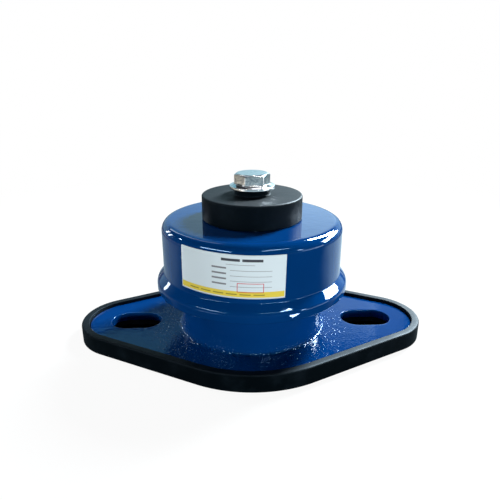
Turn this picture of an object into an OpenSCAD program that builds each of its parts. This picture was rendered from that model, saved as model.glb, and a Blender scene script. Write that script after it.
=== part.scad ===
// Housed spring vibration isolator: a sprung cap that slides down over a tube on a slotted base.
// Millimetres, +Z up, origin at the bottom centre of the base pad, slots along X, label towards -Y.

/* [Spring] */
// Wire diameter of the coil spring
wire_d = 8; // [5:0.5:9]
// Mean coil diameter of the spring
coil_d = 60; // [48:1:80]
// Free length of the spring between its ground ends
spring_len = 55.7; // [48:0.1:90]
// Working turns, without the closed turn at each end
active_turns = 2.5; // [2:0.5:4]

/* [Travel] */
// How far the cap can sink
travel = 18; // [8:0.5:22]
// Room under the skirt when the cap is fully down
skirt_gap = 8.8; // [5:0.2:14]
// Room above the tube's rim when the cap is fully down
stop_gap = 3.2; // [1:0.2:6]

/* [Spring seats] */
// Thickness of a spring seat's flange
seat_t = 4; // [2:0.5:8]
// Height of the spigot that centres the spring
spigot_h = 6; // [3:0.5:10]
// Hole through the lower seat
seat_bore_d = 30; // [16:1:40]

/* [Lower housing] */
// Room between the spring and the tube
spring_gap = 3.2; // [1.5:0.1:8]
// Wall of the tube
tube_wall = 5; // [3:0.5:8]
// Thickness of the plate
plate_t = 5; // [3:0.5:12]
// Width of the plate round the tube
plate_margin = 19.6; // [12:0.2:30]
// Fillet where the tube stands on the plate
root_r = 4; // [1:0.5:6]
// Rounding of the tube's rim
rim_r = 1; // [0.4:0.1:1.4]

/* [Fixing slots] */
// Width of a slot
slot_w = 20; // [10:0.5:24]
// Length of a slot over its round ends
slot_len = 30; // [26:0.5:40]
// Plate between the tube's fillet and a slot
slot_inset = 11.5; // [6:0.5:20]
// Plate left beside a slot
slot_land = 15.6; // [8:0.2:22]
// Distance from a slot's centre out to the centre of the rounded end
end_reach = 3.2; // [0:0.2:12]

/* [Base pad] */
// Thickness of the rubber under the plate
pad_floor_t = 3.5; // [2:0.5:8]
// Width of the lip round the plate
lip_w = 3.5; // [2:0.5:8]
// Height of the lip above the plate
lip_h = 2; // [0.5:0.5:5]

/* [Cap] */
// Sheet thickness of the cap
cap_wall = 3.5; // [2:0.1:4.5]
// Room between the tube and the cap's wall
cap_gap = 7.3; // [5:0.1:12]
// Radius of the shoulder at the cap's top
shoulder_r = 5.2; // [4.8:0.1:9]
// How far the skirt steps out from the wall
skirt_step = 4.2; // [2:0.1:7]
// Height of the skirt's straight part
skirt_h = 5.8; // [4.5:0.1:9]
// Slope of the step, measured from the vertical
step_angle = 40; // [25:1:55]
// Outer radius of the bend at the skirt's top
skirt_bend_r = 4.2; // [3.6:0.1:6]
// Outer radius of the bend at the foot of the wall
wall_bend_r = 1.5; // [0.5:0.1:4]
// Rounding of the skirt's lower edge
skirt_edge_r = 0.8; // [0.2:0.1:0.9]

/* [Damping ring] */
// How far the ring sits up inside the skirt
ring_inset = 1; // [0.5:0.1:3]

/* [Top pad] */
// Diameter of the rubber pad on the cap
top_pad_d = 58.5; // [40:0.5:84]
// Thickness of the rubber pad
top_pad_t = 14.1; // [5:0.1:25]
// Rounding of the pad's edges
top_pad_edge_r = 1; // [0.3:0.1:2]
// Diameter of the boss under the bolt
boss_d = 20.5; // [17:0.5:26]
// Height of the boss
boss_h = 3.7; // [1.5:0.1:8]

/* [Bolt and nut] */
// Nominal diameter of the bolt
bolt_d = 12; // [8:1:14]
// Hexagon of the bolt across its flats
head_af = 18; // [16:0.5:20]
// Height of the bolt's head with its flange
head_h = 8.5; // [6:0.5:12]
// Diameter of the bolt's flange
flange_d = 26.6; // [24:0.2:32]
// Thickness of the flange at its rim
flange_t = 1.4; // [0.8:0.1:2]
// Turn of the head's front flat towards +X, in degrees
head_turn = 5; // [-30:1:30]
// Hexagon of the weld nut across its flats
nut_af = 19; // [17:0.5:24]
// Height of the weld nut
nut_h = 10; // [6:0.5:14]
// How far the bolt stands out of the nut
bolt_tip = 3.7; // [1:0.1:8]

/* [Label] */
// Width of the label along the cap's curve
label_w = 57.6; // [20:0.2:100]
// Thickness of the label
label_t = 0.2; // [0.1:0.05:0.5]
// Turn of the label's middle from the front towards +X
label_turn = -14.5; // [-60:0.5:60]
// Space above and below the label on the straight wall
label_margin = 0.4; // [0.2:0.1:6]

/* [Fits] */
// Room between the plate's edge and the lip
plate_fit = 0.2; // [0.1:0.05:0.6]
// Room round a spring seat, at the tube, the spring and the nut
seat_fit = 0.5; // [0.3:0.1:1]
// Room between the damping ring and the cap
ring_fit = 0.2; // [0.1:0.05:0.5]
// Room between the damping ring and the tube
ring_slide = 0.4; // [0.3:0.05:0.8]
// Room all round the bolt in the cap's hole
cap_hole_fit = 0.75; // [0.3:0.05:1.5]
// Room all round the bolt in the rubber pad
pad_hole_fit = 0.3; // [0.1:0.05:1]
// Room all round the bolt in the nut's thread
thread_fit = 0.1; // [0.05:0.05:0.2]
// How much wider the rubber's slots are than the plate's, all round
pad_slot_fit = 0.5; // [0.2:0.1:2]
// Layer of glue behind the label
label_glue = 0.05; // [0.02:0.01:0.1]

/* [Hidden] */
$fn = 96;

// Steps in a rounded corner of a profile
arc_steps = 7;
// Sides of the spring's wire and rings in one turn
wire_sides = 12;
turn_steps = 36;
// Height of the wire's centre above the ground end where the wire begins, as a share of its diameter
ground_share = 0.15;
// Air between the turns of a closed end
closed_air = 0.3;
// Chamfer angle of the hexagons, in degrees from flat
hex_chamfer_angle = 30;
// Slope of the flange's upper face, in degrees
flange_slope = 22;
// Chamfers of the bolt's tip and of the nut's thread
tip_chamfer = 1.2;
thread_chamfer = 0.8;
// Smallest inner radius of a bend in the cap's sheet
min_bend_r = 0.4;
// Rounding of the rubber seats and of the damping ring
rubber_edge_r = 0.6;
// Small extra length that carries a cut clear through a face
over = 1;
// Straight edges run this far inside the arcs that they join, so that the two truly cross
seam = 0.02;

// Radii, from the spring outwards
tube_ri = coil_d / 2 + wire_d / 2 + spring_gap;
tube_r = tube_ri + tube_wall;
cap_ri = tube_r + cap_gap;
cap_r = cap_ri + cap_wall;
skirt_r = cap_r + skirt_step;
plate_r = tube_r + plate_margin;
plate_end_r = slot_w / 2 + slot_land;

// Slots and ends along X
slot_x = tube_r + root_r + slot_inset + slot_len / 2;
end_x = slot_x + end_reach;

// Heights, from the floor upwards
plate_z = pad_floor_t;
floor_z = plate_z + plate_t;
lip_z = floor_z + lip_h;
spring_z0 = floor_z + seat_t;
spring_z1 = spring_z0 + spring_len;
cap_under_z = spring_z1 + seat_t;
cap_z = cap_under_z + cap_wall;
tube_z = cap_under_z - travel - stop_gap;
skirt_z = floor_z + travel + skirt_gap;
skirt_top_z = skirt_z + skirt_h;
wall_z = skirt_top_z + skirt_step / tan(step_angle);
boss_z = cap_z + top_pad_t;
bolt_seat_z = boss_z + boss_h;
bolt_z = bolt_seat_z + head_h;
nut_z = cap_under_z - nut_h;
bolt_end_z = nut_z - bolt_tip;

// The sheet's inner corners lie on the bisectors of the outer ones
step_shift = cap_wall * tan(step_angle / 2);

function unit(v) = v / norm(v);
function point(p) = [p[0], p[1]];

// Points of the arc of radius r that rounds the corner b between a and c
function corner_arc(a, b, c, r) =
    let (
        u = unit(a - b),
        v = unit(c - b),
        half = acos(u * v) / 2,
        centre = b + unit(u + v) * r / sin(half),
        start = b + u * r / tan(half) - centre,
        start_angle = atan2(start[1], start[0]),
        sweep = (180 - 2 * half) * sign(cross(b - a, c - b))
    )
    [for (i = [0:arc_steps])
        let (angle = start_angle + sweep * i / arc_steps)
        centre + r * [cos(angle), sin(angle)]];

// Outline through points [x, y] or [x, y, corner radius]
function rounded(points) =
    let (count = len(points))
    [for (i = [0:count - 1])
        let (
            a = point(points[(i + count - 1) % count]),
            b = point(points[i]),
            c = point(points[(i + 1) % count])
        )
        each (len(points[i]) > 2 ? corner_arc(a, b, c, points[i][2]) : [b])];

module revolved(points) {
    rotate_extrude() polygon(rounded(points));
}

// Rhombic outline of the base: two end arcs and a round middle, joined by tangent lines
module base_outline(middle_r, end_r) {
    lean = acos((middle_r - end_r) / end_x);
    tangent = [cos(lean), sin(lean)];
    middle = (middle_r - seam) * tangent;
    end = [end_x, 0] + (end_r - seam) * tangent;
    circle(r = middle_r);
    for (side = [-1, 1])
        translate([side * end_x, 0]) circle(r = end_r);
    polygon([
        for (quarter = [[1, 1], [-1, 1], [-1, -1], [1, -1]])
            let (pair = [[end[0] * quarter[0], end[1] * quarter[1]],
                [middle[0] * quarter[0], middle[1] * quarter[1]]])
            each (quarter[0] * quarter[1] > 0 ? pair : [pair[1], pair[0]])
    ]);
}

// Both fixing slots, widened all round by extra
module slots_2d(extra) {
    width = slot_w + 2 * extra;
    run = slot_len - slot_w;
    for (side = [-1, 1])
        translate([side * slot_x, 0]) {
            square([run, width - 2 * seam], center = true);
            for (end = [-1, 1])
                translate([end * run / 2, 0]) circle(d = width);
        }
}

// Upright prism of a hexagon across flats af, with its upper corners turned down by a cone
module hexagon(af, height) {
    corner_r = af / 2 / cos(30);
    intersection() {
        cylinder(r = corner_r, h = height, $fn = 6);
        revolved([
            [0, -over],
            [corner_r + over, -over],
            [corner_r + over, height - (corner_r + over - af / 2) * tan(hex_chamfer_angle)],
            [af / 2, height],
            [0, height]
        ]);
    }
}

// Rubber seat: a flange with a spigot that stands up into the spring
module spring_seat(flange_r, bore_r) {
    spigot_r = coil_d / 2 - wire_d / 2 - seat_fit;
    revolved([
        [bore_r, 0],
        [flange_r, 0, rubber_edge_r],
        [flange_r, seat_t, rubber_edge_r],
        [spigot_r, seat_t],
        [spigot_r, seat_t + spigot_h, rubber_edge_r],
        [bore_r, seat_t + spigot_h, rubber_edge_r]
    ]);
}

module base_pad() {
    color("#26272a")
    difference() {
        linear_extrude(lip_z)
            base_outline(plate_r + plate_fit + lip_w, plate_end_r + plate_fit + lip_w);
        translate([0, 0, plate_z])
            linear_extrude(lip_z)
            base_outline(plate_r + plate_fit, plate_end_r + plate_fit);
        translate([0, 0, -over])
            linear_extrude(lip_z + 2 * over)
            slots_2d(pad_slot_fit);
    }
}

module lower_housing() {
    color("#1d4c87") {
        translate([0, 0, plate_z])
            linear_extrude(plate_t)
            difference() {
                base_outline(plate_r, plate_end_r);
                slots_2d(0);
            }
        revolved([
            [tube_ri, plate_z + plate_t / 2],
            [tube_r + root_r, plate_z + plate_t / 2],
            [tube_r + root_r, floor_z],
            [tube_r, floor_z, root_r],
            [tube_r, tube_z, rim_r],
            [tube_ri, tube_z, rim_r]
        ]);
    }
}

module lower_spring_seat() {
    color("#2b2c2f")
    translate([0, 0, floor_z])
        spring_seat(tube_ri - seat_fit, seat_bore_d / 2);
}

// Height of the wire's centre after t turns
function wire_z(t) =
    let (
        start = ground_share * wire_d,
        closed_pitch = wire_d + closed_air,
        pitch = (spring_len - 2 * (start + closed_pitch)) / active_turns
    )
    spring_z0 + start + closed_pitch * min(t, 1)
        + pitch * min(max(t - 1, 0), active_turns)
        + closed_pitch * max(t - 1 - active_turns, 0);

// Round wire swept along the helix, cut off flat at both ground ends
module coil_spring() {
    turns = active_turns + 2;
    last = round(turns * turn_steps);
    points = [
        for (i = [0:last], j = [0:wire_sides - 1])
            let (
                turn = 360 * i / turn_steps,
                side = 360 * (j + 0.5) / wire_sides,
                r = coil_d / 2 + wire_d / 2 * cos(side),
                z = wire_z(turns * i / last) + wire_d / 2 * sin(side)
            )
            [r * cos(turn), r * sin(turn), min(max(z, spring_z0), spring_z1)]
    ];
    faces = [
        [for (j = [0:wire_sides - 1]) j],
        for (i = [0:last - 1], j = [0:wire_sides - 1])
            let (
                a = i * wire_sides + j,
                b = i * wire_sides + (j + 1) % wire_sides
            )
            each [[a, a + wire_sides, b], [b, a + wire_sides, b + wire_sides]],
        [for (j = [wire_sides - 1:-1:0]) last * wire_sides + j]
    ];
    color("#4d5156") polyhedron(points, faces);
}

// Ring that fills the skirt under the step and slides along the tube
module damping_ring() {
    outer_r = skirt_r - cap_wall - ring_fit;
    top_r = cap_ri - ring_fit;
    bottom = skirt_z + ring_inset;
    cone_z = skirt_top_z - step_shift - ring_fit;
    top = cone_z + (outer_r - top_r) / tan(step_angle);
    bore_r = tube_r + ring_slide;
    color("#2b2c2f")
    revolved([
        [bore_r, bottom, rubber_edge_r],
        [outer_r, bottom, rubber_edge_r],
        [outer_r, cone_z],
        [top_r, top],
        [bore_r, top, rubber_edge_r]
    ]);
}

module upper_spring_seat() {
    color("#2b2c2f")
    translate([0, 0, cap_under_z])
        mirror([0, 0, 1])
        spring_seat(tube_ri - 2 * seat_fit, nut_af / 2 / cos(30) + seat_fit);
}

// Sheet steel cap: one wall thickness all along its shoulder, wall, step and skirt
module upper_cap() {
    hole_r = bolt_d / 2 + cap_hole_fit;
    color("#1f5291")
    revolved([
        [hole_r, cap_under_z],
        [cap_ri, cap_under_z, max(shoulder_r - cap_wall, min_bend_r)],
        [cap_ri, wall_z - step_shift, wall_bend_r + cap_wall],
        [skirt_r - cap_wall, skirt_top_z - step_shift, max(skirt_bend_r - cap_wall, min_bend_r)],
        [skirt_r - cap_wall, skirt_z, skirt_edge_r],
        [skirt_r, skirt_z, skirt_edge_r],
        [skirt_r, skirt_top_z, skirt_bend_r],
        [cap_r, wall_z, wall_bend_r],
        [cap_r, cap_z, shoulder_r],
        [hole_r, cap_z]
    ]);
}

module weld_nut() {
    bore_r = bolt_d / 2;
    color("#8f959b")
    translate([0, 0, cap_under_z])
        mirror([0, 0, 1])
        difference() {
            hexagon(nut_af, nut_h);
            revolved([
                [0, -over],
                [bore_r + thread_chamfer, -over],
                [bore_r + thread_chamfer, 0],
                [bore_r, thread_chamfer],
                [bore_r, nut_h - thread_chamfer],
                [bore_r + thread_chamfer, nut_h],
                [bore_r + thread_chamfer, nut_h + over],
                [0, nut_h + over]
            ]);
        }
}

// Sticker on the straight part of the cap's wall
module label() {
    inner_r = cap_r + label_glue;
    sweep = label_w / inner_r * 180 / PI;
    bottom = wall_z + wall_bend_r * tan(step_angle / 2) + label_margin;
    top = cap_z - shoulder_r - label_margin;
    color("#dfe6ee")
    rotate(-90 + label_turn - sweep / 2)
        rotate_extrude(angle = sweep)
        translate([inner_r, bottom])
        square([label_t, top - bottom]);
}

module top_pad() {
    bore_r = bolt_d / 2 + pad_hole_fit;
    color("#26272a")
    revolved([
        [bore_r, cap_z],
        [top_pad_d / 2, cap_z, top_pad_edge_r],
        [top_pad_d / 2, boss_z, top_pad_edge_r],
        [boss_d / 2, boss_z],
        [boss_d / 2, bolt_seat_z, rubber_edge_r],
        [bore_r, bolt_seat_z]
    ]);
}

module hex_flange_bolt() {
    shank_r = bolt_d / 2 - thread_fit;
    flange_r = flange_d / 2;
    neck_r = head_af / 2;
    neck_z = bolt_seat_z + flange_t + (flange_r - neck_r) * tan(flange_slope);
    color("#ccd4da") {
        translate([0, 0, bolt_seat_z])
            rotate(head_turn)
            hexagon(head_af, head_h);
        revolved([
            [0, bolt_end_z],
            [shank_r - tip_chamfer, bolt_end_z],
            [shank_r, bolt_end_z + tip_chamfer],
            [shank_r, bolt_seat_z],
            [flange_r, bolt_seat_z],
            [flange_r, bolt_seat_z + flange_t],
            [neck_r, neck_z],
            [0, neck_z]
        ]);
    }
}

base_pad();
lower_housing();
lower_spring_seat();
coil_spring();
damping_ring();
upper_spring_seat();
upper_cap();
weld_nut();
label();
top_pad();
hex_flange_bolt();
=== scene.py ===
import math
import bmesh
import bpy
import numpy as np
from mathutils import Matrix, Vector


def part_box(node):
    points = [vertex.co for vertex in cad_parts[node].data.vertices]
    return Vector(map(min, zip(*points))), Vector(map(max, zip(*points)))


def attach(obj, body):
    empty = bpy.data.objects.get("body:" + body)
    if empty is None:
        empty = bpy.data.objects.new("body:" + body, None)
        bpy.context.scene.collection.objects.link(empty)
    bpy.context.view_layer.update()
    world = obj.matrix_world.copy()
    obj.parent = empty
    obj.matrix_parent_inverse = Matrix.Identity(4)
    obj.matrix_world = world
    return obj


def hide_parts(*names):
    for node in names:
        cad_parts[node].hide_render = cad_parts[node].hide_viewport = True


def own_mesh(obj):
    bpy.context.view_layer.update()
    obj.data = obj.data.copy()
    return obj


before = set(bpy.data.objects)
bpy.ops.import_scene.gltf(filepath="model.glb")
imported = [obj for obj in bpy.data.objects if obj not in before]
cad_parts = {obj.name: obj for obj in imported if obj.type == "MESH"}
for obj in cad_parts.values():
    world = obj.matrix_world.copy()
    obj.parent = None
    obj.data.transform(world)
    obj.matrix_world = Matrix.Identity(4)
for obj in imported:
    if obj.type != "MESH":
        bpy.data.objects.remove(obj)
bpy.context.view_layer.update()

MM = 0.001

# Sizes of the isolator in millimetres, with angles in radians
CAP_R = 53.0
CAP_WALL = 3.5
CAP_HOLE_R = 6.75
HOLE_EDGE_R = 0.3
SHOULDER_R = 5.2
SKIRT_H = 5.3
SKIRT_DROP = 0.5
STEP_ANGLE = math.radians(40)
SKIRT_BEND_R = 4.2
WALL_BEND_R = 1.5
SKIRT_EDGE_R = 0.9
TUBE_R = 42.2
TUBE_WALL = 5.0
TUBE_FOOT_R = 43.4
TUBE_ROOT_R = 1.6
TUBE_RIM_R = 1.0
PLATE_FLOOR = 3.5
PLATE_EDGE_R = 0.9
LIP_W = 3.8
LIP_EDGE_R = 0.3
LIP_ROUND = 1.0
TRAY_PROUD = 0.75
TRAY_FOOT_R = 0.4
UNDERSIDE_INSET = 2.0
PLATE_FIT = 0.2
TRAY_END_R = 29.3
SLOT_X = 72.7
SLOT_R = 10.0
SLOT_RUN = 11.0
SLOT_RIM_R = 0.45
TRAY_SLOT_R = 10.5
PAD_EDGE_R = 1.0
BOSS_R = 10.25
BOSS_H = 3.7
BOSS_EDGE_R = 0.6
BOLT_BORE_R = 6.3
SHANK_R = 5.9
THREAD_PITCH = 1.75
THREAD_DEPTH = 1.05
THREAD_FADE = 3.0
TIP_H = 1.5
HEAD_FLAT_R = 9.15
HEAD_TOP_R = 0.965 * HEAD_FLAT_R
HEAD_TURN = math.radians(-85)
CHAMFER_SLOPE = math.tan(math.radians(30))
FLANGE_R = 13.1
FLANGE_T = 1.5
FLANGE_FOOT_R = 0.2
FLANGE_EDGE_R = 0.3
FLANGE_SLOPE = math.tan(math.radians(14))
CONE_END_R = HEAD_FLAT_R + 2.5
WIRE_R = 4.0
COIL_R = 30.0
COIL_TURNS = 4.5
COIL_CLOSED_GAP = 0.3
RING_GAP = 0.2
RING_SLIP = 1.1
RING_EDGE_R = 0.5
LABEL_W = 58.2
LABEL_H = 23.7
LABEL_T = 0.2
LABEL_LIFT = 0.1
LABEL_MID_ARC = -13.5
LABEL_MID_Z = 59.6
LABEL_TILT = math.radians(-1.0)

# Steps (outwards, upwards) in millimetres that ease the bolt head's foot, chamfer edge and top edge
HEAD_FOOT = ((0.35, -0.1), (0.1, 0.1), (0, 0.4), (0, 0.55))
HEAD_CHAMFER = ((0, -0.4), (0, -0.25), (-0.03, -0.07), (-0.14, 0.05))
HEAD_TOP = ((0.12, -0.06), (-0.1, 0), (-0.3, 0))

# Shares: the cap's ripple of its radius, and what grinding leaves of the wire below its centre
CAP_RIPPLE = 0.0005
GROUND_SHARE = 0.3

# Points round a turned piece, the cap, the bolt and a turn of the coil, round its wire, and along the label
TURN_STEPS = 192
CAP_STEPS = 256
BOLT_STEPS = 360
COIL_STEPS = 72
WIRE_STEPS = 20
LABEL_COLUMNS = 80
LABEL_ROWS = 30

# Power of the soft minimum that eases the bolt head's corners
CORNER_POWER = 60

# Points nearer than this are merged, edges shorter than this are dropped, and edges that turn more stay sharp
MERGE_GAP = 2e-6
SLIVER = 1e-7
SHARP_ANGLE = math.radians(38)

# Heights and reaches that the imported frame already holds
BASE_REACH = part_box("base_pad")[1].x / MM
BASE_HALF_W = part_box("base_pad")[1].y / MM
LIP_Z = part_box("base_pad")[1].z / MM
TUBE_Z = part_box("lower_housing")[1].z / MM
PLATE_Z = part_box("lower_spring_seat")[0].z / MM
CAP_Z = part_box("upper_cap")[1].z / MM
SKIRT_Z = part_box("upper_cap")[0].z / MM - SKIRT_DROP
SKIRT_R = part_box("upper_cap")[1].x / MM
PAD_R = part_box("top_pad")[1].x / MM
PAD_SEAT_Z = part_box("top_pad")[1].z / MM
HEAD_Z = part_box("hex_flange_bolt")[1].z / MM
BOLT_END_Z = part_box("hex_flange_bolt")[0].z / MM
RING_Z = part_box("damping_ring")[0].z / MM
SPRING_Z0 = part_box("coil_spring")[0].z / MM
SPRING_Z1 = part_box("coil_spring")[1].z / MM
PAD_TOP_Z = PAD_SEAT_Z - BOSS_H
SKIRT_TOP_Z = SKIRT_Z + SKIRT_H
WALL_FOOT_Z = SKIRT_TOP_Z + (SKIRT_R - CAP_R) / math.tan(STEP_ANGLE)
FOOT_R = TUBE_FOOT_R + TUBE_ROOT_R
END_X = BASE_REACH - TRAY_END_R
SIDE_LEAN = math.acos((BASE_HALF_W - TRAY_END_R) / END_X)


def rounded(corners, steps=10, spacing=None):
    """Profile through corners (x, y) or (x, y, radius).

    A corner with a radius becomes the arc that touches both of its sides: its centre lies on the bisector,
    radius / sin(half angle) from the corner. Longer straight stretches get a point every spacing.
    """
    points = []
    count = len(corners)
    for i, corner in enumerate(corners):
        here = np.array(corner[:2], float)
        if len(corner) < 3:
            points.append(here[None])
            continue
        back = np.array(corners[i - 1][:2], float) - here
        ahead = np.array(corners[(i + 1) % count][:2], float) - here
        back /= np.linalg.norm(back)
        ahead /= np.linalg.norm(ahead)
        half = math.acos(np.clip(back @ ahead, -1, 1)) / 2
        middle = (back + ahead) / np.linalg.norm(back + ahead)
        centre = here + middle * corner[2] / math.sin(half)
        first = here + back * corner[2] / math.tan(half) - centre
        turn = np.sign(-back[0] * ahead[1] + back[1] * ahead[0])
        angle = math.atan2(first[1], first[0]) + turn * (math.pi - 2 * half) * np.linspace(0, 1, steps)
        points.append(centre + corner[2] * np.stack([np.cos(angle), np.sin(angle)], 1))
    outline = np.concatenate(points)
    if spacing is None:
        return outline
    walked = np.concatenate([[0], np.cumsum(np.linalg.norm(np.diff(outline, axis=0), axis=1))])
    stops = np.unique(np.round(np.concatenate([walked, np.arange(0, walked[-1], spacing)]), 4))
    return np.stack([np.interp(stops, walked, outline[:, k]) for k in (0, 1)], 1)


def around(steps):
    """Angles of a full turn in equal steps, without the closing one."""
    return np.linspace(0, 2 * math.pi, steps, endpoint=False)


def revolved(profile, turns):
    """Profile points (r, z) carried round the Z axis: x = r cos(turn), y = r sin(turn)."""
    r, z = profile[:, 0, None], profile[:, 1, None]
    return np.stack([r * np.cos(turns), r * np.sin(turns), z + 0 * turns], 2)


def quads(rows, columns, wrap_rows, wrap_columns):
    """Corner numbers of the quads between neighbours of a rows by columns grid of points."""
    i = np.arange(rows if wrap_rows else rows - 1)[:, None]
    j = np.arange(columns if wrap_columns else columns - 1)[None]
    k = (i + 1) % rows
    m = (j + 1) % columns
    return np.stack([i * columns + j, i * columns + m, k * columns + m, k * columns + j], 2).reshape(-1, 4)


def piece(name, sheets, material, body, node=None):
    """Closed, smooth object from point grids in millimetres.

    Each sheet is (points, wrap rows, wrap columns). Shared edges and poles are merged, and faces are turned
    outwards.
    """
    points = np.concatenate([sheet[0].reshape(-1, 3) for sheet in sheets]) * MM
    starts = np.cumsum([0] + [sheet[0].shape[0] * sheet[0].shape[1] for sheet in sheets])
    faces = np.concatenate([
        quads(*sheet[0].shape[:2], *sheet[1:]) + start for sheet, start in zip(sheets, starts)
    ])
    mesh = bpy.data.meshes.new(name)
    mesh.from_pydata(points, [], faces)
    work = bmesh.new()
    work.from_mesh(mesh)
    bmesh.ops.remove_doubles(work, verts=work.verts, dist=MERGE_GAP)
    bmesh.ops.dissolve_degenerate(work, edges=work.edges, dist=SLIVER)
    bmesh.ops.recalc_face_normals(work, faces=work.faces)
    work.to_mesh(mesh)
    work.free()
    mesh.shade_smooth()
    mesh.set_sharp_from_angle(angle=SHARP_ANGLE)
    mesh.materials.append(material)
    made = bpy.data.objects.new(name, mesh)
    bpy.context.collection.objects.link(made)
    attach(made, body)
    if node:
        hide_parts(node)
    return made


def linear(code):
    """Linear RGBA of an sRGB hex colour."""
    parts = np.array([int(code[i:i + 2], 16) for i in (1, 3, 5)]) / 255
    parts = np.where(parts <= 0.04045, parts / 12.92, ((parts + 0.055) / 1.055) ** 2.4)
    return (*parts, 1.0)


def per_mm(size):
    """Texture scale at which one feature of the pattern is size millimetres."""
    return 1 / (size * MM)


def add(tree, kind, settings=None, inputs=None):
    """Adds a node: settings are its properties, inputs its socket values or the sockets that feed them."""
    made = tree.nodes.new(kind)
    for key, value in (settings or {}).items():
        setattr(made, key, value)
    for key, value in (inputs or {}).items():
        if isinstance(value, bpy.types.NodeSocket):
            tree.links.new(value, made.inputs[key])
        else:
            made.inputs[key].default_value = value
    return made


def new_material(name):
    """Empty material with its tree, its shader and its Object coordinates."""
    material = bpy.data.materials.new(name)
    material.use_nodes = True
    tree = material.node_tree
    tree.nodes.clear()
    shader = add(tree, "ShaderNodeBsdfPrincipled")
    add(tree, "ShaderNodeOutputMaterial", None, {"Surface": shader.outputs["BSDF"]})
    place = add(tree, "ShaderNodeTexCoord").outputs["Object"]
    return material, tree, shader, place


# Settings that many nodes share
SMOOTH = {"interpolation_type": "SMOOTHSTEP"}
COLOURS = {"data_type": "RGBA"}
NUMBERS = {"data_type": "FLOAT"}
WHITE = linear("#ffffff")


def enamel(name, dark, light, cast):
    """Glossy blue stoving enamel sprayed on steel or iron.

    The paint levels out to a deep shine with orange peel and slow sags. On the casting it follows the grain
    that the sand mould leaves, deepest at the tube's root, where the shine breaks into specks, and dying away
    towards the plate's ends and up the tube. Orange peel and grain are drawn about three times their real
    size, so that they show.
    """
    material, tree, shader, place = new_material(name)
    shader.inputs["Specular Tint"].default_value = linear("#a6d2ff")
    shade = add(tree, "ShaderNodeTexNoise", None, {"Vector": place, "Scale": per_mm(26), "Detail": 3.0})
    colour = add(tree, "ShaderNodeMix", COLOURS, {
        "Factor": shade.outputs["Fac"], "A": linear(dark), "B": linear(light),
    })
    tree.links.new(colour.outputs["Result"], shader.inputs["Base Color"])
    gloss = add(tree, "ShaderNodeTexNoise", None, {"Vector": place, "Scale": per_mm(9), "Detail": 4.0})
    roughness = add(tree, "ShaderNodeMapRange", SMOOTH, {
        "Value": gloss.outputs["Fac"], "From Min": 0.35, "From Max": 0.7, "To Min": 0.02, "To Max": 0.045,
    })
    tree.links.new(roughness.outputs["Result"], shader.inputs["Roughness"])
    peel = add(tree, "ShaderNodeTexNoise", None, {"Vector": place, "Scale": per_mm(4.0), "Detail": 1.5})
    sag = add(tree, "ShaderNodeTexNoise", None, {"Vector": place, "Scale": per_mm(16), "Detail": 1.0})
    height = add(tree, "ShaderNodeMath", {"operation": "MULTIPLY_ADD"}, {
        0: sag.outputs["Fac"], 1: 2.4, 2: peel.outputs["Fac"],
    }).outputs["Value"]
    if cast:
        flat = add(tree, "ShaderNodeVectorMath", {"operation": "MULTIPLY"}, {0: place, 1: (1, 1, 0)})
        reach = add(tree, "ShaderNodeVectorMath", {"operation": "LENGTH"}, {
            0: flat.outputs["Vector"],
        }).outputs["Value"]
        sand = add(tree, "ShaderNodeTexNoise", None, {
            "Vector": place, "Scale": per_mm(1.0), "Detail": 0.5, "Roughness": 0.5,
        })
        plate_depth = add(tree, "ShaderNodeMapRange", SMOOTH, {
            "Value": reach, "From Min": (FOOT_R + 3) * MM, "From Max": (FOOT_R + 35) * MM,
            "To Min": 1.5, "To Max": 0.25,
        })
        root_depth = add(tree, "ShaderNodeMapRange", SMOOTH, {
            "Value": reach, "From Min": (FOOT_R - 0.6) * MM, "From Max": (FOOT_R + 0.8) * MM,
            "To Min": 7.0, "To Max": 0.2,
        })
        rise = add(tree, "ShaderNodeSeparateXYZ", None, {"Vector": place}).outputs["Z"]
        low_down = add(tree, "ShaderNodeMapRange", SMOOTH, {
            "Value": rise, "From Min": (PLATE_Z + 1.5) * MM, "From Max": (PLATE_Z + 4.5) * MM,
            "To Min": 1.0, "To Max": 0.08,
        })
        skin = add(tree, "ShaderNodeMath", {"operation": "MULTIPLY"}, {
            0: sand.outputs["Fac"], 1: plate_depth.outputs["Result"],
        }).outputs["Value"]
        skin = add(tree, "ShaderNodeMath", {"operation": "MULTIPLY_ADD"}, {
            0: sand.outputs["Fac"], 1: root_depth.outputs["Result"], 2: skin,
        }).outputs["Value"]
        grain = add(tree, "ShaderNodeMapRange", SMOOTH, {
            "Value": sand.outputs["Fac"], "From Min": 0.6, "From Max": 0.8, "To Min": 0.0, "To Max": 1.0,
        })
        grains = add(tree, "ShaderNodeMapRange", SMOOTH, {
            "Value": reach, "From Min": (FOOT_R + 1) * MM, "From Max": (FOOT_R + 27) * MM,
            "To Min": 3.0, "To Max": 0.0,
        })
        skin = add(tree, "ShaderNodeMath", {"operation": "MULTIPLY_ADD"}, {
            0: grain.outputs["Result"], 1: grains.outputs["Result"], 2: skin,
        }).outputs["Value"]
        height = add(tree, "ShaderNodeMath", {"operation": "MULTIPLY_ADD"}, {
            0: skin, 1: low_down.outputs["Result"], 2: height,
        }).outputs["Value"]
    bump = add(tree, "ShaderNodeBump", None, {"Height": height, "Strength": 1.0, "Distance": 0.05 * MM})
    tree.links.new(bump.outputs["Normal"], shader.inputs["Normal"])
    return material


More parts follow.
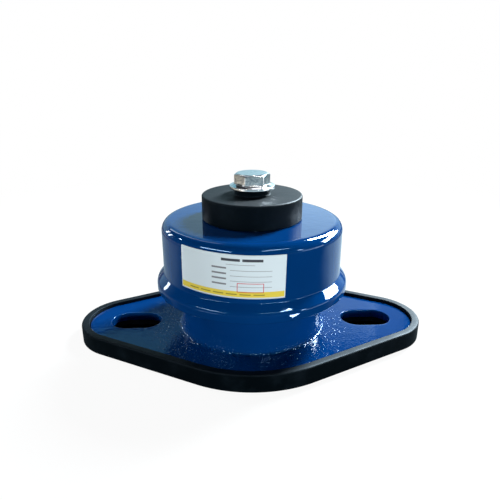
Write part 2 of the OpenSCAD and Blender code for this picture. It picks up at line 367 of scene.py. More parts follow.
def rubber(name):
    """Moulded black rubber: a satin skin with the mould's grain, cloudy bloom and paler scuffs at its edges.

    The grain is drawn several times its real size, so that it shows.
    """
    material, tree, shader, place = new_material(name)
    cloud = add(tree, "ShaderNodeTexNoise", None, {
        "Vector": place, "Scale": per_mm(12), "Detail": 5.0, "Roughness": 0.6,
    })
    nicks = add(tree, "ShaderNodeTexNoise", None, {"Vector": place, "Scale": per_mm(3), "Detail": 3.0})
    bloom = add(tree, "ShaderNodeMapRange", SMOOTH, {
        "Value": cloud.outputs["Fac"], "From Min": 0.45, "From Max": 0.75,
    })
    colour = add(tree, "ShaderNodeMix", COLOURS, {
        "Factor": bloom.outputs["Result"], "A": linear("#02070b"), "B": linear("#0b1319"),
    })
    edge = add(tree, "ShaderNodeMapRange", SMOOTH, {
        "Value": add(tree, "ShaderNodeNewGeometry").outputs["Pointiness"], "From Min": 0.52, "From Max": 0.6,
    })
    worn = add(tree, "ShaderNodeMapRange", SMOOTH, {
        "Value": nicks.outputs["Fac"], "From Min": 0.42, "From Max": 0.62,
    })
    scuff = add(tree, "ShaderNodeMath", {"operation": "MULTIPLY"}, {
        0: edge.outputs["Result"], 1: worn.outputs["Result"],
    })
    colour = add(tree, "ShaderNodeMix", COLOURS, {
        "Factor": scuff.outputs["Value"], "A": colour.outputs["Result"], "B": linear("#4c5861"),
    })
    tree.links.new(colour.outputs["Result"], shader.inputs["Base Color"])
    roughness = add(tree, "ShaderNodeMapRange", SMOOTH, {
        "Value": cloud.outputs["Fac"], "From Min": 0.3, "From Max": 0.7, "To Min": 0.5, "To Max": 0.64,
    })
    tree.links.new(roughness.outputs["Result"], shader.inputs["Roughness"])
    shader.inputs["Specular Tint"].default_value = linear("#bfe0ff")
    shader.inputs["Specular IOR Level"].default_value = 0.17
    grain = add(tree, "ShaderNodeTexNoise", None, {"Vector": place, "Scale": per_mm(0.9), "Detail": 3.0})
    bump = add(tree, "ShaderNodeBump", None, {
        "Height": grain.outputs["Fac"], "Strength": 0.5, "Distance": 0.03 * MM,
    })
    tree.links.new(bump.outputs["Normal"], shader.inputs["Normal"])
    return material


def plated_steel(name, low, high, shiny, dull):
    """Steel with a bright zinc coat, or bare: cold formed faces, mottled in tone and gloss.

    The mottle is drawn several times its real size, so that it shows.
    """
    material, tree, shader, place = new_material(name)
    shader.inputs["Metallic"].default_value = 1.0
    mottle = add(tree, "ShaderNodeTexNoise", None, {
        "Vector": place, "Scale": per_mm(1.0), "Detail": 3.0, "Roughness": 0.6,
    })
    tone = add(tree, "ShaderNodeMapRange", SMOOTH, {
        "Value": mottle.outputs["Fac"], "From Min": 0.38, "From Max": 0.62,
    })
    colour = add(tree, "ShaderNodeMix", COLOURS, {
        "Factor": tone.outputs["Result"], "A": linear(low), "B": linear(high),
    })
    tree.links.new(colour.outputs["Result"], shader.inputs["Base Color"])
    roughness = add(tree, "ShaderNodeMapRange", SMOOTH, {
        "Value": mottle.outputs["Fac"], "From Min": 0.3, "From Max": 0.7, "To Min": shiny, "To Max": dull,
    })
    tree.links.new(roughness.outputs["Result"], shader.inputs["Roughness"])
    bump = add(tree, "ShaderNodeBump", None, {
        "Height": mottle.outputs["Fac"], "Strength": 0.3, "Distance": 0.004 * MM,
    })
    tree.links.new(bump.outputs["Normal"], shader.inputs["Normal"])
    return material


def label_paper(name):
    """Coated white paper, smooth: a printed yellow band, bars and rules of an empty form, and a red frame.

    A point is in a printed field where its distance from the field's middle is within half the field's size.
    The fibres are drawn coarser than they are, so that they show.
    """
    material, tree, shader, place = new_material(name)
    sheet = add(tree, "ShaderNodeUVMap", {"uv_map": "sheet"}).outputs["UV"]
    spot = add(tree, "ShaderNodeVectorMath", {"operation": "MULTIPLY"}, {0: sheet, 1: (LABEL_W, LABEL_H, 0)})
    yellow, olive, ink, grey, red = map(linear, ("#e9d552", "#9c9038", "#474c54", "#80858c", "#cf3947"))
    # Printed fields: left, bottom, right and top in millimetres on the flat sheet, and colour
    fields = [(0.4, 0.8, LABEL_W - 0.4, 3.95, yellow)]
    fields += [(6.2 + 7.1 * k, 1.9, 11.9 + 7.1 * k, 2.5, olive) for k in range(6)]
    fields += [(27.4, 18.2, 42.2, 18.4, grey), (24.9, 20.1, 34.6, 21.5, ink), (35.8, 20.1, 46.2, 21.5, ink)]
    for level in (15.1, 12.1, 9.3, 6.3):
        fields += [(29.6, level, 50.9, level + 0.22, grey)]
        fields += [(19.8, level + 0.7, 27.6, level + 1.6, grey)]
    left, bottom, right, top, line = 33.2, 3.4, 46.9, 8.55, 0.35
    fields += [(left, bottom, right, bottom + line, red), (left, top - line, right, top, red)]
    fields += [(left, bottom, left + line, top, red), (right - line, bottom, right, top, red)]
    colour = linear("#dfeff6")
    for x0, y0, x1, y1, tint in fields:
        away = add(tree, "ShaderNodeVectorMath", {"operation": "SUBTRACT"}, {
            0: spot.outputs["Vector"], 1: ((x0 + x1) / 2, (y0 + y1) / 2, 0),
        })
        span = add(tree, "ShaderNodeVectorMath", {"operation": "ABSOLUTE"}, {0: away.outputs["Vector"]})
        past = add(tree, "ShaderNodeVectorMath", {"operation": "SUBTRACT"}, {
            0: span.outputs["Vector"], 1: ((x1 - x0) / 2, (y1 - y0) / 2, 1),
        })
        axes = add(tree, "ShaderNodeSeparateXYZ", None, {"Vector": past.outputs["Vector"]})
        worst = add(tree, "ShaderNodeMath", {"operation": "MAXIMUM"}, {
            0: axes.outputs["X"], 1: axes.outputs["Y"],
        })
        inside = add(tree, "ShaderNodeMath", {"operation": "LESS_THAN"}, {0: worst.outputs["Value"], 1: 0.0})
        colour = add(tree, "ShaderNodeMix", COLOURS, {
            "Factor": inside.outputs["Value"], "A": colour, "B": tint,
        }).outputs["Result"]
    tree.links.new(colour, shader.inputs["Base Color"])
    shader.inputs["Roughness"].default_value = 0.35
    fibre = add(tree, "ShaderNodeTexNoise", None, {"Vector": place, "Scale": per_mm(2.5), "Detail": 3.0})
    bump = add(tree, "ShaderNodeBump", None, {
        "Height": fibre.outputs["Fac"], "Strength": 0.3, "Distance": 0.02 * MM,
    })
    tree.links.new(bump.outputs["Normal"], shader.inputs["Normal"])
    return material


smooth_enamel = enamel("blue_enamel_on_pressed_steel", "#003167", "#023977", cast=False)
cast_enamel = enamel("blue_enamel_on_cast_iron", "#003067", "#023877", cast=True)
black_rubber = rubber("moulded_black_rubber")
zinc = plated_steel("bright_zinc_plated_steel", "#b6bdc6", "#eff0f1", 0.08, 0.18)
spring_steel = plated_steel("oiled_spring_steel", "#3b3f45", "#5a6068", 0.3, 0.45)
bare_steel = plated_steel("plain_steel", "#7d838a", "#a2a8ae", 0.3, 0.45)
paper = label_paper("coated_label_paper")


def cap_shell():
    """Cap: one closed profile of even wall, outside down to the skirt and inside up again, turned about Z.

    Above the skirt's edge the radius takes a few hundredths of a millimetre of slow ripple, the sum of three
    sines of angle and height.
    """
    inner = CAP_R - CAP_WALL
    shift = CAP_WALL * math.tan(STEP_ANGLE / 2)
    profile = rounded([
        (CAP_HOLE_R, CAP_Z, HOLE_EDGE_R),
        (CAP_R, CAP_Z, SHOULDER_R),
        (CAP_R, WALL_FOOT_Z, WALL_BEND_R),
        (SKIRT_R, SKIRT_TOP_Z, SKIRT_BEND_R),
        (SKIRT_R, SKIRT_Z, SKIRT_EDGE_R),
        (SKIRT_R - CAP_WALL, SKIRT_Z, SKIRT_EDGE_R),
        (SKIRT_R - CAP_WALL, SKIRT_TOP_Z - shift, SKIRT_BEND_R - CAP_WALL),
        (inner, WALL_FOOT_Z - shift, WALL_BEND_R + CAP_WALL),
        (inner, CAP_Z - CAP_WALL, SHOULDER_R - CAP_WALL),
        (CAP_HOLE_R, CAP_Z - CAP_WALL, HOLE_EDGE_R),
    ], spacing=2.5)
    points = revolved(profile, around(CAP_STEPS))
    turn = np.arctan2(points[..., 1], points[..., 0])
    height = points[..., 2] / 10
    ripple = np.sin(5 * turn + height) + np.sin(9 * turn - 1.7 * height + 1)
    ripple = ripple + np.sin(14 * turn + 2.3 * height + 2)
    above_edge = points[..., 2:] > SKIRT_Z + 1
    points[..., :2] *= 1 + CAP_RIPPLE * ripple[..., None] * above_edge
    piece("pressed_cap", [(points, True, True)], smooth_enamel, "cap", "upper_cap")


# Steps along the stretches of the base's upper outlines
END_STEPS = np.linspace(0, SIDE_LEAN, 20, endpoint=False)
SLOT_OUT = np.linspace(0, math.pi / 2, 16, endpoint=False)
SLOT_FLAT = np.linspace(1, -1, 8, endpoint=False)
SLOT_IN = np.linspace(math.pi / 2, math.pi, 16, endpoint=False)
LAND_STEPS = np.linspace(0, 1, 8, endpoint=False)
FOOT_SIDE = np.linspace(0, SIDE_LEAN, 34, endpoint=False)
FOOT_FRONT = np.linspace(SIDE_LEAN, math.pi / 2, 16)
FOOT_TURNS = np.concatenate([FOOT_SIDE, FOOT_FRONT])


def mirrored(half):
    """Right half of an upper curve, followed by its mirror image on the left."""
    return np.concatenate([half, half[-2::-1] * (-1, 1)])


def inner_curve(start_x, slot_r, foot_r):
    """Upper inner edge of a base face: along the X axis, round the slot's upper half, round the tube's foot.

    With a foot radius of nothing the tube's stretch runs along the axis.
    """
    half_run = SLOT_RUN / 2
    outer_x = SLOT_X + half_run + slot_r
    inner_x = SLOT_X - half_run - slot_r
    share = np.arange(len(END_STEPS)) / len(END_STEPS)
    foot = np.stack([FOOT_R * np.cos(FOOT_TURNS), foot_r * np.sin(FOOT_TURNS)], 1)
    return mirrored(np.concatenate([
        np.stack([start_x + (outer_x - start_x) * share, 0 * share], 1),
        np.stack([SLOT_X + half_run + slot_r * np.cos(SLOT_OUT), slot_r * np.sin(SLOT_OUT)], 1),
        np.stack([SLOT_X + half_run * SLOT_FLAT, slot_r + 0 * SLOT_FLAT], 1),
        np.stack([SLOT_X - half_run + slot_r * np.cos(SLOT_IN), slot_r * np.sin(SLOT_IN)], 1),
        np.stack([inner_x + (FOOT_R - inner_x) * LAND_STEPS, 0 * LAND_STEPS], 1),
        foot,
    ]))


def outer_curve(offset):
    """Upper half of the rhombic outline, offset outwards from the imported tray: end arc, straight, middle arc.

    Points on the straight side keep step with the inner edge, so that the lines between the two stay upright.
    """
    end_r = TRAY_END_R + offset
    middle_r = BASE_HALF_W + offset
    lean = np.array([math.cos(SIDE_LEAN), math.sin(SIDE_LEAN)])
    along = inner_curve(END_X, SLOT_R, 0)[len(END_STEPS):, 0]
    along = along[:len(SLOT_OUT) + len(SLOT_FLAT) + len(SLOT_IN) + len(LAND_STEPS) + len(FOOT_SIDE)]
    last_x = FOOT_R * math.cos(SIDE_LEAN)
    share = ((along[0] - along) / (along[0] - last_x))[:, None]
    side_start = np.array([END_X, 0]) + end_r * lean
    side_end = middle_r * lean
    return mirrored(np.concatenate([
        np.stack([END_X + end_r * np.cos(END_STEPS), end_r * np.sin(END_STEPS)], 1),
        side_start + share * (side_end - side_start),
        middle_r * np.stack([np.cos(FOOT_FRONT), np.sin(FOOT_FRONT)], 1),
    ]))


def base_face(offset, slot_r, foot_r, z, steps=14):
    """Flat face of the base as two ruled sheets, above and below the X axis: inner + t (outer - inner)."""
    outer = outer_curve(offset)
    inner = inner_curve(END_X + TRAY_END_R + offset, slot_r, foot_r)
    t = np.linspace(0, 1, steps)[:, None, None]
    flat = inner + t * (outer - inner)
    upper = np.concatenate([flat, np.full((*flat.shape[:2], 1), z)], 2)
    return [(upper * (1, side, 1), False, False) for side in (1, -1)]


def edge_band(profile):
    """Profile points (offset, z) carried round the whole rhombic outline."""
    half = [outer_curve(offset) for offset in profile[:, 0]]
    loop = np.stack([np.concatenate([upper, upper[-2:0:-1] * (1, -1)]) for upper in half])
    z = np.broadcast_to(profile[:, 1, None, None], (*loop.shape[:2], 1))
    return np.concatenate([loop, z], 2), False, True


def slot_bands(profile):
    """Profile points (radius, z) carried round both slots."""
    shift = np.concatenate([np.ones(len(SLOT_OUT)), SLOT_FLAT, -np.ones(len(SLOT_IN))])
    turns = np.concatenate([SLOT_OUT, np.full(len(SLOT_FLAT), math.pi / 2), SLOT_IN])
    turns = np.concatenate([turns, turns + math.pi])
    shift = np.concatenate([shift, -shift])
    r, z = profile[:, 0, None], profile[:, 1, None]
    x = SLOT_RUN / 2 * shift + r * np.cos(turns)
    loop = np.stack([SLOT_X + x, r * np.sin(turns), z + 0 * turns], 2)
    return [(loop * (side, 1, 1), False, True) for side in (1, -1)]


def lower_casting():
    """Plate and tube in one: ruled faces, an edge band, slot bands and the turned tube, with shared edges."""
    edge = -LIP_W - PLATE_FIT
    rim = SLOT_R + SLOT_RIM_R
    rim_arc = np.linspace(0, math.pi / 2, 7)
    round_edge = np.stack([
        edge - PLATE_EDGE_R * (1 - np.sin(rim_arc)), PLATE_Z - PLATE_EDGE_R * (1 - np.cos(rim_arc)),
    ], 1)
    round_slot = np.stack([
        rim - SLOT_RIM_R * np.sin(rim_arc), PLATE_Z - SLOT_RIM_R * (1 - np.cos(rim_arc)),
    ], 1)
    bore = TUBE_R - TUBE_WALL
    tube = rounded([
        (FOOT_R, PLATE_Z),
        (TUBE_FOOT_R, PLATE_Z, TUBE_ROOT_R),
        (TUBE_R, SKIRT_Z),
        (TUBE_R, TUBE_Z, TUBE_RIM_R),
        (bore, TUBE_Z, TUBE_RIM_R),
        (bore, PLATE_Z),
        (0, PLATE_Z),
    ], spacing=3)
    quarter = np.concatenate([FOOT_TURNS, math.pi - FOOT_TURNS[-2::-1]])
    turns = np.concatenate([quarter, -quarter[-2:0:-1]])
    sheets = base_face(edge - PLATE_EDGE_R, rim, FOOT_R, PLATE_Z)
    sheets += base_face(edge, SLOT_R, 0, PLATE_FLOOR)
    sheets += [edge_band(np.concatenate([round_edge, [[edge, PLATE_FLOOR]]]))]
    sheets += slot_bands(np.concatenate([round_slot, [[SLOT_R, PLATE_FLOOR]]]))
    sheets += [(revolved(tube, turns), False, True)]
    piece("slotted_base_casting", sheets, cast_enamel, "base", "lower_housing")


def rubber_tray():
    """Tray: a lip profile carried round the outline, and a floor and underside joined by the slots' bands."""
    profile = rounded([
        (-LIP_W, PLATE_FLOOR),
        (-LIP_W, LIP_Z, LIP_EDGE_R),
        (TRAY_PROUD, LIP_Z, LIP_ROUND),
        (TRAY_PROUD, 0, TRAY_FOOT_R),
        (-UNDERSIDE_INSET, 0),
    ], steps=6, spacing=1.5)
    sheets = base_face(-LIP_W, TRAY_SLOT_R, 0, PLATE_FLOOR)
    sheets += base_face(-UNDERSIDE_INSET, TRAY_SLOT_R, 0, 0)
    sheets += [edge_band(profile)]
    # Rings close to both rims keep the wall's shading flat
    slot_wall = [[TRAY_SLOT_R, share * PLATE_FLOOR] for share in (1, 0.85, 0.15, 0)]
    sheets += slot_bands(np.array(slot_wall))
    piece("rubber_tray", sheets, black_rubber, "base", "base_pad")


def top_rubber():
    """Top pad: a turned disc with eased edges and a boss under the bolt."""
    profile = rounded([
        (BOLT_BORE_R, CAP_Z),
        (PAD_R, CAP_Z, PAD_EDGE_R),
        (PAD_R, PAD_TOP_Z, PAD_EDGE_R),
        (BOSS_R, PAD_TOP_Z, BOSS_EDGE_R),
        (BOSS_R, PAD_SEAT_Z, BOSS_EDGE_R),
        (BOLT_BORE_R, PAD_SEAT_Z),
    ], spacing=2)
    disc = revolved(profile, around(TURN_STEPS))
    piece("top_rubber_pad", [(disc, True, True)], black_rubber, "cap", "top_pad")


def bolt():
    """Flange bolt from rings: turned flange, hexagon sides, chamfer cone, top and a threaded shank.

    The hexagon's radius is flat / cos(angle from the nearest flat's middle), eased at the corners by a soft
    minimum with a circle. The chamfer falls 30 degrees from a circle just inside the flats. The thread's
    radius is a triangle wave of height / pitch - turn / 360, with small flats at crest and root.
    """
    turns = around(BOLT_STEPS)
    sector = math.pi / 3
    away = (turns - HEAD_TURN + sector / 2) % sector - sector / 2
    corner = HEAD_FLAT_R / math.cos(sector / 2)
    hexagon = ((HEAD_FLAT_R / np.cos(away)) ** -CORNER_POWER + corner ** -CORNER_POWER) ** (-1 / CORNER_POWER)
    seat = PAD_SEAT_Z
    cone = seat + FLANGE_T + (FLANGE_R - hexagon) * FLANGE_SLOPE
    chamfer = HEAD_Z - (hexagon - HEAD_TOP_R) * CHAMFER_SLOPE
    flange = rounded([
        (SHANK_R, seat),
        (FLANGE_R, seat, FLANGE_FOOT_R),
        (FLANGE_R, seat + FLANGE_T, FLANGE_EDGE_R),
        (CONE_END_R, seat + FLANGE_T + (FLANGE_R - CONE_END_R) * FLANGE_SLOPE),
    ], steps=6, spacing=0.25)
    ones = np.ones_like(turns)
    rings = [(r * ones, z * ones) for r, z in flange]
    rings += [(hexagon + out, cone + up) for out, up in HEAD_FOOT]
    rings += [(hexagon + out, chamfer + up) for out, up in HEAD_CHAMFER]
    rings += [((HEAD_TOP_R + out) * ones, (HEAD_Z + up) * ones) for out, up in HEAD_TOP]
    rings += [(share * HEAD_TOP_R * ones, HEAD_Z * ones) for share in (0.7, 0.35, 0)]
    radius, height = np.array(rings).transpose(1, 0, 2)
    head = np.stack([radius * np.cos(turns), radius * np.sin(turns), height], 2)
    levels = np.arange(BOLT_END_Z, seat, THREAD_PITCH / 10)
    levels = np.append(levels, seat)[:, None]
    twist = turns[::6]
    wave = np.abs((levels / THREAD_PITCH - twist / (2 * math.pi)) % 1 - 0.5) * 2
    fade = np.clip((seat - levels) / THREAD_FADE, 0, 1)
    tip = np.clip((levels - BOLT_END_Z) / TIP_H, 0, 1)
    thread = SHANK_R - THREAD_DEPTH * np.maximum(np.clip(1.25 * wave - 0.1, 0, 1) * fade, 1 - tip)
    shank = np.stack([thread * np.cos(twist), thread * np.sin(twist), levels + 0 * twist], 2)
    end = np.stack([0 * twist, 0 * twist, BOLT_END_Z + 0 * twist], 1)
    shank = np.concatenate([end[None], shank])
    sheets = [(head, False, True), (shank, False, True)]
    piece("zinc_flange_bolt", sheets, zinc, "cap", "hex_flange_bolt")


def spring():
    """Coil: a round wire whose centre follows a helix, with a closed turn and a ground flat at each end.

    The centre rises a wire's width and a small gap in the first and last turn, and evenly between. Points
    past the ends are set flush.
    """
    turn = np.linspace(0, COIL_TURNS, int(COIL_TURNS * COIL_STEPS) + 1)[:, None]
    side = around(WIRE_STEPS)
    length = SPRING_Z1 - SPRING_Z0
    start = SPRING_Z0 + GROUND_SHARE * WIRE_R
    closed = 2 * WIRE_R + COIL_CLOSED_GAP
    middle = (length - 2 * GROUND_SHARE * WIRE_R - 2 * closed) / (COIL_TURNS - 2)
    rise = closed * np.minimum(turn, 1) + middle * np.clip(turn - 1, 0, COIL_TURNS - 2)
    rise = rise + closed * np.maximum(turn - COIL_TURNS + 1, 0)
    r = COIL_R + WIRE_R * np.cos(side)
    z = np.clip(start + rise + WIRE_R * np.sin(side), SPRING_Z0, SPRING_Z1)
    angle = 2 * math.pi * turn
    tube = np.stack([r * np.cos(angle), r * np.sin(angle), z], 2)
    ends = np.broadcast_to(tube[[0, -1]].mean(1)[:, None], (2, len(side), 3))
    tube = np.concatenate([ends[:1], tube, ends[1:]])
    sheets = [(tube, False, True)]
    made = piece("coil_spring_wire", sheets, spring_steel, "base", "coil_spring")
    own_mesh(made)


def label_sheet():
    """Label: a rectangle tilted in its own plane, then wrapped round the cap: turn = arc / radius.

    Where it climbs past the wall its radius follows the shoulder's circle.
    """
    u, v = np.meshgrid(np.linspace(0, 1, LABEL_COLUMNS), np.linspace(0, 1, LABEL_ROWS))
    x = (u - 0.5) * LABEL_W
    y = (v - 0.5) * LABEL_H
    arc = LABEL_MID_ARC + x * math.cos(LABEL_TILT) - y * math.sin(LABEL_TILT)
    z = LABEL_MID_Z + x * math.sin(LABEL_TILT) + y * math.cos(LABEL_TILT)
    climb = np.clip(z - CAP_Z + SHOULDER_R, 0, SHOULDER_R)
    radius = CAP_R + LABEL_LIFT + LABEL_T - SHOULDER_R + np.sqrt(SHOULDER_R ** 2 - climb ** 2)
    turn = arc / CAP_R - math.pi / 2
    points = np.stack([radius * np.cos(turn), radius * np.sin(turn), z], 2)
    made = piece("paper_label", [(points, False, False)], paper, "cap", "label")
    corners = np.empty(len(made.data.loops), int)
    made.data.loops.foreach_get("vertex_index", corners)
    uv = np.stack([u.ravel(), v.ravel()], 1)[corners]
    made.data.uv_layers.new(name="sheet").data.foreach_set("uv", uv.ravel())
    wall = made.modifiers.new("paper", "SOLIDIFY")
    wall.thickness = LABEL_T * MM
    wall.offset = -1


def rubber_ring():
    """Damping ring: a turned band with eased edges, a small gap inside the skirt and its step.

    Its bore clears the drafted tube down to the lower end of the travel.
    """
    shift = CAP_WALL * math.tan(STEP_ANGLE / 2)
    outer = SKIRT_R - CAP_WALL - RING_GAP
    neck = CAP_R - CAP_WALL - RING_GAP
    bore = TUBE_R + RING_SLIP
    profile = rounded([
        (bore, RING_Z, RING_EDGE_R),
        (outer, RING_Z, RING_EDGE_R),
        (outer, SKIRT_TOP_Z - shift, RING_EDGE_R),
        (neck, WALL_FOOT_Z - shift, RING_EDGE_R),
        (bore, WALL_FOOT_Z - shift, RING_EDGE_R),
    ], spacing=2)
    band = revolved(profile, around(TURN_STEPS))
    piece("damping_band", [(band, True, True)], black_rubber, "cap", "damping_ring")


cap_shell()
lower_casting()
rubber_tray()
top_rubber()
bolt()
spring()
label_sheet()
rubber_ring()

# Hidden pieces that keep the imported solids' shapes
hidden = {"lower_spring_seat": black_rubber, "upper_spring_seat": black_rubber, "weld_nut": bare_steel}
for node_name, finish in hidden.items():
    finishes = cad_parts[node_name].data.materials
    finishes.clear()
    finishes.append(finish)


# Point that the lamps and the camera are aimed at, in metres
MIDDLE = Vector((0, 0, 0.05))


def outward(azimuth, elevation):
    """Unit vector away from the object, from degrees: azimuth 0 is the camera's side and 90 is +X."""
    az, el = math.radians(azimuth), math.radians(elevation)
    return Vector((math.sin(az) * math.cos(el), -math.cos(az) * math.cos(el), math.sin(el)))


def softbox(name, sheen, azimuth, elevation, distance, width, height, radiance, tint="#ffffff", only=()):
    """Area lamp aimed at the object's middle, with its place in degrees and metres and its size in metres.

    One for matt sheen falls on matt colour alone, and one for shiny sheen is mirrored alone. Where only is
    given, the lamp reaches the pieces that it names and no others.
    """
    away = outward(azimuth, elevation)
    lamp = bpy.data.lights.new(name, "AREA")
    lamp.shape = "RECTANGLE"
    lamp.size = width
    lamp.size_y = height
    lamp.energy = radiance * math.pi * width * height
    lamp.color = linear(tint)[:3]
    made = bpy.data.objects.new(name, lamp)
    made.location = away * distance + MIDDLE
    made.rotation_euler = away.to_track_quat("Z", "Y").to_euler()
    made.visible_diffuse = sheen == "matt"
    made.visible_glossy = sheen == "shiny"
    made.visible_camera = False
    bpy.context.collection.objects.link(made)
    if only:
        reached = bpy.data.collections.new(name + "_reaches")
        for piece_name in only:
            reached.objects.link(bpy.data.objects[piece_name])
        made.light_linking.receiver_collection = reached
    return made


def kinds_of_ray(tree):
    """Sockets that are 1 for rays from the camera, and 1 for rays that a surface mirrors or lets through."""
    light_path = add(tree, "ShaderNodeLightPath").outputs
    mirrored_ray = add(tree, "ShaderNodeMath", {"operation": "MAXIMUM"}, {
        0: light_path["Is Glossy Ray"], 1: light_path["Is Transmission Ray"],
    })
    return light_path["Is Camera Ray"], mirrored_ray.outputs["Value"]


def pale_floor():
    """Floor: white to the camera, faint shadow near the object, and black painted shade under the plate's
    slots.

    Mirrored rays see it dim close in front, brighter close behind, most of all on the right, and then dim
    with a bright ring about 0.4 m out.
    """
    half, z = 3.0, -0.3 * MM
    shade_x, shade_y = 0.097, 0.031
    mesh = bpy.data.meshes.new("floor")
    corners = [(-half, -half, z), (half, -half, z), (half, half, z), (-half, half, z)]
    mesh.from_pydata(corners, [], [(0, 1, 2, 3)])
    floor = bpy.data.objects.new("floor", mesh)
    bpy.context.collection.objects.link(floor)
    material = bpy.data.materials.new("pale_floor")
    material.use_nodes = True
    tree = material.node_tree
    tree.nodes.clear()
    camera_ray, mirrored_ray = kinds_of_ray(tree)
    place = add(tree, "ShaderNodeTexCoord").outputs["Object"]
    axes = add(tree, "ShaderNodeSeparateXYZ", None, {"Vector": place}).outputs
    reach = add(tree, "ShaderNodeVectorMath", {"operation": "LENGTH"}, {0: place}).outputs["Value"]
    behind = add(tree, "ShaderNodeMapRange", SMOOTH, {
        "Value": axes["Y"], "From Min": -0.045, "From Max": 0.04,
    })
    back_tone = add(tree, "ShaderNodeMapRange", SMOOTH, {
        "Value": axes["X"], "From Min": -0.1, "From Max": 0.12, "To Min": 0.45, "To Max": 1.1,
    })
    back_fade = add(tree, "ShaderNodeMapRange", SMOOTH, {
        "Value": reach, "From Min": 0.24, "From Max": 0.29,
        "To Min": back_tone.outputs["Result"], "To Max": 0.08,
    })
    near_tone = add(tree, "ShaderNodeMix", NUMBERS, {
        "Factor": behind.outputs["Result"], "A": 0.03, "B": back_fade.outputs["Result"],
    })
    ring_tone = add(tree, "ShaderNodeMapRange", SMOOTH, {
        "Value": reach, "From Min": 0.425, "From Max": 0.435, "To Min": 1.6, "To Max": 0.36,
    })
    far_tone = add(tree, "ShaderNodeMapRange", SMOOTH, {
        "Value": reach, "From Min": 0.55, "From Max": 0.65,
        "To Min": ring_tone.outputs["Result"], "To Max": 0.12,
    })
    far = add(tree, "ShaderNodeMapRange", SMOOTH, {"Value": reach, "From Min": 0.37, "From Max": 0.4})
    mirror_tone = add(tree, "ShaderNodeMix", NUMBERS, {
        "Factor": far.outputs["Result"], "A": near_tone.outputs["Result"], "B": far_tone.outputs["Result"],
    })
    # Painted shade: an ellipse under the plate, black to the camera and in mirrors, where the slots show the
    # floor
    squeezed = add(tree, "ShaderNodeVectorMath", {"operation": "MULTIPLY"}, {
        0: place, 1: (1 / shade_x, 1 / shade_y, 0),
    })
    ellipse = add(tree, "ShaderNodeVectorMath", {"operation": "LENGTH"}, {0: squeezed.outputs["Vector"]})
    outside_painted_shade = add(tree, "ShaderNodeMapRange", SMOOTH, {
        "Value": ellipse.outputs["Value"], "From Min": 0.92, "From Max": 1.0,
    })
    tone = add(tree, "ShaderNodeMix", NUMBERS, {
        "Factor": camera_ray, "A": mirror_tone.outputs["Result"], "B": 1.0,
    })
    tone = add(tree, "ShaderNodeMath", {"operation": "MULTIPLY"}, {
        0: tone.outputs["Result"], 1: outside_painted_shade.outputs["Result"],
    })
    left = add(tree, "ShaderNodeMapRange", SMOOTH, {"Value": axes["X"], "From Min": -0.15, "From Max": -0.35})
    tinge = add(tree, "ShaderNodeMix", COLOURS, {
        "Factor": left.outputs["Result"], "A": linear("#d6f2fb"), "B": linear("#fff8e6"),
    })
    glow_colour = add(tree, "ShaderNodeMix", COLOURS, {
        "Factor": camera_ray, "A": tinge.outputs["Result"], "B": WHITE,
    })
    matte_tone = add(tree, "ShaderNodeMix", NUMBERS, {
        "Factor": camera_ray, "A": 0.12, "B": outside_painted_shade.outputs["Result"],
    })
    matte = add(tree, "ShaderNodeBsdfDiffuse", None, {"Color": matte_tone.outputs["Result"]})
    glow = add(tree, "ShaderNodeEmission", None, {
        "Color": glow_colour.outputs["Result"], "Strength": tone.outputs["Value"],
    })
    brightness = add(tree, "ShaderNodeMapRange", SMOOTH, {
        "Value": reach, "From Min": 0.2, "From Max": 0.5, "To Min": 0.93, "To Max": 1.0,
    })
    seen = add(tree, "ShaderNodeMath", {"operation": "MULTIPLY_ADD"}, {
        0: camera_ray, 1: brightness.outputs["Result"], 2: mirrored_ray,
    })
    mixed = add(tree, "ShaderNodeMixShader", None, {
        0: seen.outputs["Value"], 1: matte.outputs["BSDF"], 2: glow.outputs["Emission"],
    })
    add(tree, "ShaderNodeOutputMaterial", None, {"Surface": mixed.outputs["Shader"]})
    material.cycles.emission_sampling = "NONE"
    mesh.materials.append(material)


def white_backdrop():
    """World: white to the camera.

    Mirrored rays see it bright low down behind the object, most of all on the right, and dim elsewhere.
    """
    world = bpy.data.worlds.new("white_backdrop")
    bpy.context.scene.world = world
    world.use_nodes = True
    world.cycles.sampling_method = "NONE"
    tree = world.node_tree
    tree.nodes.clear()
    camera_ray, mirrored_ray = kinds_of_ray(tree)
    direction = add(tree, "ShaderNodeTexCoord").outputs["Generated"]
    axes = add(tree, "ShaderNodeSeparateXYZ", None, {"Vector": direction}).outputs
    low = add(tree, "ShaderNodeMapRange", SMOOTH, {
        "Value": axes["Z"], "From Min": 0.29, "From Max": 0.43, "To Min": 1.0, "To Max": 0.05,
    })
    behind = add(tree, "ShaderNodeMapRange", SMOOTH, {
        "Value": axes["Y"], "From Min": 0.25, "From Max": 0.75, "To Min": 0.05, "To Max": 0.8,
    })
    rightward = add(tree, "ShaderNodeMapRange", SMOOTH, {
        "Value": axes["X"], "From Min": -0.3, "From Max": 0.4, "To Min": 0.9, "To Max": 1.4,
    })
    level = add(tree, "ShaderNodeMath", {"operation": "MULTIPLY"}, {
        0: low.outputs["Result"], 1: behind.outputs["Result"],
    })
    level = add(tree, "ShaderNodeMath", {"operation": "MULTIPLY"}, {
        0: level.outputs["Value"], 1: rightward.outputs["Result"],
    })
    room = add(tree, "ShaderNodeMix", NUMBERS, {
        "Factor": mirrored_ray, "A": 0.03, "B": level.outputs["Value"],
    })
    strength = add(tree, "ShaderNodeMix", NUMBERS, {
        "Factor": camera_ray, "A": room.outputs["Result"], "B": 1.0,
    })
    colour = add(tree, "ShaderNodeMix", COLOURS, {
        "Factor": camera_ray, "A": linear("#c2ecfa"), "B": WHITE,
    })
    sky = add(tree, "ShaderNodeBackground", None, {
        "Color": colour.outputs["Result"], "Strength": strength.outputs["Result"],
    })
    add(tree, "ShaderNodeOutputWorld", None, {"Surface": sky.outputs["Background"]})


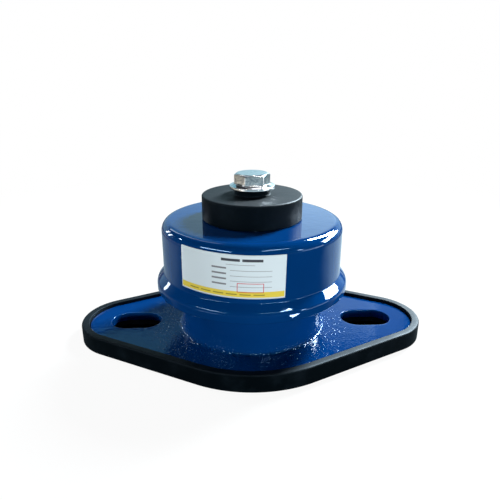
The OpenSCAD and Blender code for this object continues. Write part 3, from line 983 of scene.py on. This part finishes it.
def lamps():
    """Key from behind on the right, low fills in front, and the windows, strips and lamps seen in the shine.

    The key stands three times on one line: for matt colour, for the shine of the upper pieces and the tray,
    and dimmer for the casting, whose plate and tube mirror it twice. The root lamps stand too high for the
    plate, so that only the tube's root and its grain catch them. The ceiling is for the bolt's top.
    """
    cap = ("pressed_cap",)
    casting = ("slotted_base_casting",)
    upper_and_tray = ("pressed_cap", "zinc_flange_bolt", "top_rubber_pad", "paper_label", "rubber_tray")
    softbox("key", "matt", 133, 38, 1.0, 0.214, 0.428, 110.0, "#eefbff")
    softbox("key_mirrored", "shiny", 133, 38, 0.97, 0.208, 0.415, 235.0, "#eefbff", upper_and_tray)
    softbox("key_on_casting", "shiny", 133, 38, 0.97, 0.208, 0.415, 120.0, "#eefbff", casting)
    softbox("overhead", "matt", 0, 86, 1.2, 1.0, 1.0, 0.12)
    softbox("front_right_fill", "matt", 45, 2.5, 1.5, 1.0, 0.15, 40.5)
    softbox("front_left_fill", "matt", -60, 2.5, 1.5, 0.8, 0.2, 21.0)
    softbox("left_back_fill", "matt", -118, 20, 1.0, 0.3, 0.3, 19.0)
    softbox("right_glow", "shiny", 166.5, 19, 0.9, 0.275, 0.27, 0.95, "#d0ecff")
    softbox("right_glow_edge", "shiny", 155.2, 19, 0.9, 0.08, 0.27, 0.42, "#d0ecff")
    softbox("left_window_near", "shiny", -123, 15, 1.4, 0.09, 0.36, 14.0, "#ffffff", cap)
    softbox("left_window_far", "shiny", -133, 15, 1.4, 0.09, 0.36, 14.0, "#ffffff", cap)
    softbox("left_haze", "shiny", -160, 33, 0.9, 0.4, 0.25, 0.58, "#95e8ff")
    softbox("left_spark", "shiny", -150, 44, 1.3, 0.14, 0.9, 2.5)
    softbox("left_lamp", "shiny", -108, 29, 1.3, 0.1, 0.08, 40.0, "#ffffff", upper_and_tray)
    softbox("root_lamp_left", "shiny", -135, 37, 1.3, 0.2, 0.06, 90.0, "#ffffff", casting)
    softbox("root_lamp_front", "shiny", -112, 54, 1.3, 0.3, 0.06, 120.0, "#ffffff", casting)
    softbox("right_low", "shiny", 72, -3.5, 0.45, 0.25, 0.04, 5.0)
    softbox("left_low", "shiny", -48, -3.5, 0.45, 0.2, 0.04, 3.5)
    softbox("left_strip", "shiny", -50, 31, 1.3, 0.85, 0.022, 90.0)
    softbox("right_strip", "shiny", 31, 43, 1.3, 0.65, 0.026, 130.0)
    softbox("front_lamp", "shiny", 57, 9, 1.3, 0.14, 0.1, 30.0)
    softbox("cap_window", "shiny", 114, 19, 1.4, 0.95, 0.34, 45.0, "#f4fbff", cap)
    softbox("bolt_ceiling", "shiny", 0, 88, 1.2, 0.9, 0.9, 0.7, "#e8f6ff", ("zinc_flange_bolt",))
    glint = softbox("skirt_glint", "shiny", 36, -19.7, 0.1258, 0.021, 0.0052, 45.0, "#ffffff", cap)
    glint.data.shape = "ELLIPSE"


def photo_camera():
    """Camera found from the photograph's edges: place, roll, focal length and shift of a square frame."""
    away = outward(-2.07, 20.676)
    roll = math.radians(0.178)
    distance, focal_px, frame_px = 0.300618, 494.295, 500
    centre_px = (251.937, 257.741)
    lens = bpy.data.cameras.new("photo_camera")
    lens.sensor_width = 36
    lens.lens = focal_px / frame_px * lens.sensor_width
    lens.shift_x = 0.5 - centre_px[0] / frame_px
    lens.shift_y = centre_px[1] / frame_px - 0.5
    lens.clip_start = 0.01
    made = bpy.data.objects.new("photo_camera", lens)
    made.matrix_world = (
        Matrix.Translation(away * distance + MIDDLE)
        @ away.to_track_quat("Z", "Y").to_matrix().to_4x4()
        @ Matrix.Rotation(roll, 4, "Z")
    )
    bpy.context.collection.objects.link(made)
    bpy.context.scene.camera = made


pale_floor()
white_backdrop()
lamps()
photo_camera()
bpy.context.scene.view_settings.view_transform = "Standard"
